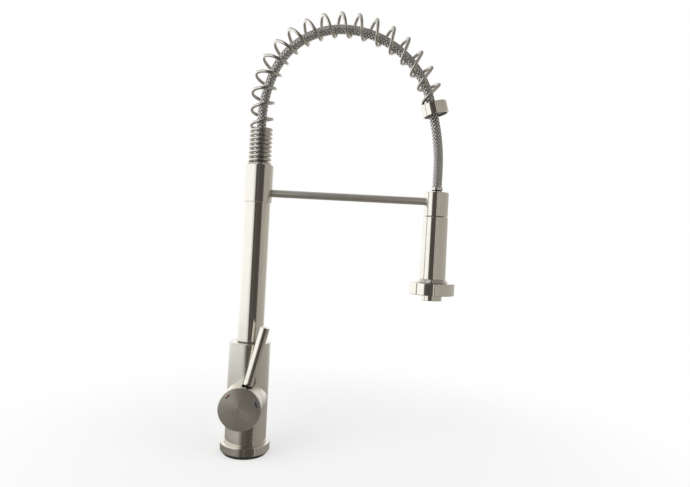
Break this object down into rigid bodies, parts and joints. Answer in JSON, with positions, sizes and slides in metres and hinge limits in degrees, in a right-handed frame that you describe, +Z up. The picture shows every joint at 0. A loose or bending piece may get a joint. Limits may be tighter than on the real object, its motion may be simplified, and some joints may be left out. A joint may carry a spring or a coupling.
{
  "type": "pull-down kitchen faucet",
  "caption": "Kitchen faucet with a side hub and rod lever, a swivelling column, an open coil spring arched round a braided hose, and a spray head that pulls down out of an arm's holder.",
  "frame": {"origin": "centre of the deck gasket's underside, on the column's axis, where it rests on the worktop", "axes": "+Z up along the column, +X towards the spray head, and the lever's hub looks along -Y"},
  "size_m": [0.244, 0.0725, 0.536],
  "materials": {
    "brushed_nickel": "satin, brushed round each piece",
    "polished_nickel": "polished",
    "spring_wire": "satin plated wire",
    "braided_hose": "rubber tube under a stainless braid",
    "black_rubber": "matt",
    "seal_rubber": "matt",
    "plain_brass": "machined",
    "zinc_steel": "zinc plated",
    "stainless": "machined",
    "ceramic": "ground ceramic",
    "white_acetal": "moulded",
    "black_plastic": "moulded",
    "grey_silicone": "soft moulded",
    "red_enamel": "gloss",
    "blue_enamel": "gloss"
  },
  "bodies": {
    "base": {"deck_gasket": "black_rubber", "base_flange": "brushed_nickel", "mounting_shank": "plain_brass", "clamp_rubber_washer": "black_rubber", "clamp_steel_washer": "zinc_steel", "mounting_nut": "plain_brass", "lower_body": "brushed_nickel", "cartridge_body": "white_acetal", "cartridge_seals": "seal_rubber", "fixed_disc": "ceramic", "cartridge_nut": "plain_brass", "cap_guide_ring": "white_acetal", "cap_oring": "seal_rubber", "swivel_washer": "black_plastic", "body_screw": "stainless"},
    "spout": {"swivel_spigot": "plain_brass", "spigot_orings": "seal_rubber", "hose_adapter": "plain_brass", "lower_ferrule": "stainless", "column_tube": "brushed_nickel", "collar": "brushed_nickel", "collar_screw": "stainless", "spring_seat": "white_acetal", "spring": "spring_wire", "hose": "braided_hose", "arm_rod": "brushed_nickel", "holder": "brushed_nickel", "holder_liner": "black_plastic"},
    "mixer": {"handle_cap": "brushed_nickel", "hot_mark": "red_enamel", "cold_mark": "blue_enamel", "cartridge_spindle": "white_acetal", "stem_pivot_pin": "stainless"},
    "disc_slider": {"moving_disc": "ceramic", "disc_carrier": "white_acetal"},
    "handle": {"cartridge_stem": "stainless", "handle_block": "plain_brass", "handle_set_screw": "stainless", "lever_rod": "brushed_nickel"},
    "hose_end": {"spring_end_ring": "polished_nickel", "ring_liner": "black_plastic", "hose_ferrule": "stainless", "hose_tail": "plain_brass"},
    "spray_head": {"connector_nut": "stainless", "connector_washer": "seal_rubber", "inner_waterway": "plain_brass", "spray_barrel": "brushed_nickel", "neck_ring": "brushed_nickel", "aerator_housing": "brushed_nickel", "aerator_insert": "black_plastic"},
    "spray_ring": {"spray_disc": "polished_nickel", "nozzle_plate": "black_plastic", "spray_nozzles": "grey_silicone"}
  },
  "joints": [
    {"name": "spout_swivel", "type": "hinge", "parent": "base", "child": "spout", "pos_m": [0, 0, 0.12], "axis": [0, 0, 1], "continuous": true},
    {"name": "temperature", "type": "hinge", "parent": "base", "child": "mixer", "pos_m": [0, -0.03, 0.0593], "axis": [0, 1, 0], "range_deg": [-63.5, 36.5]},
    {"name": "flow_tilt", "type": "hinge", "parent": "mixer", "child": "handle", "pos_m": [0, -0.014, 0.0593], "axis": [0.9724, 0, -0.2334], "range_deg": [0, 18]},
    {"name": "disc_slide", "type": "slide", "parent": "mixer", "child": "disc_slider", "axis": [0.2334, 0, 0.9724], "range_m": [0, 0.0024]},
    {"name": "pull_down", "type": "slide", "parent": "spout", "child": "hose_end", "axis": [0, 0, -1], "range_m": [0, 0.08], "stiffness_N_per_m": 60, "springref_m": -0.1, "deforming": ["spring", "hose"]},
    {"name": "head_swivel", "type": "hinge", "parent": "hose_end", "child": "spray_head", "pos_m": [0.1935, 0, 0.27], "axis": [0, 0, 1], "continuous": true},
    {"name": "spray_mode", "type": "hinge", "parent": "spray_head", "child": "spray_ring", "pos_m": [0.1935, 0, 0.1935], "axis": [0, 0, 1], "range_deg": [0, 60]}
  ],
  "couplings": [
    {"joint": "disc_slide", "follows": "flow_tilt", "m_per_rad": 0.007}
  ]
}
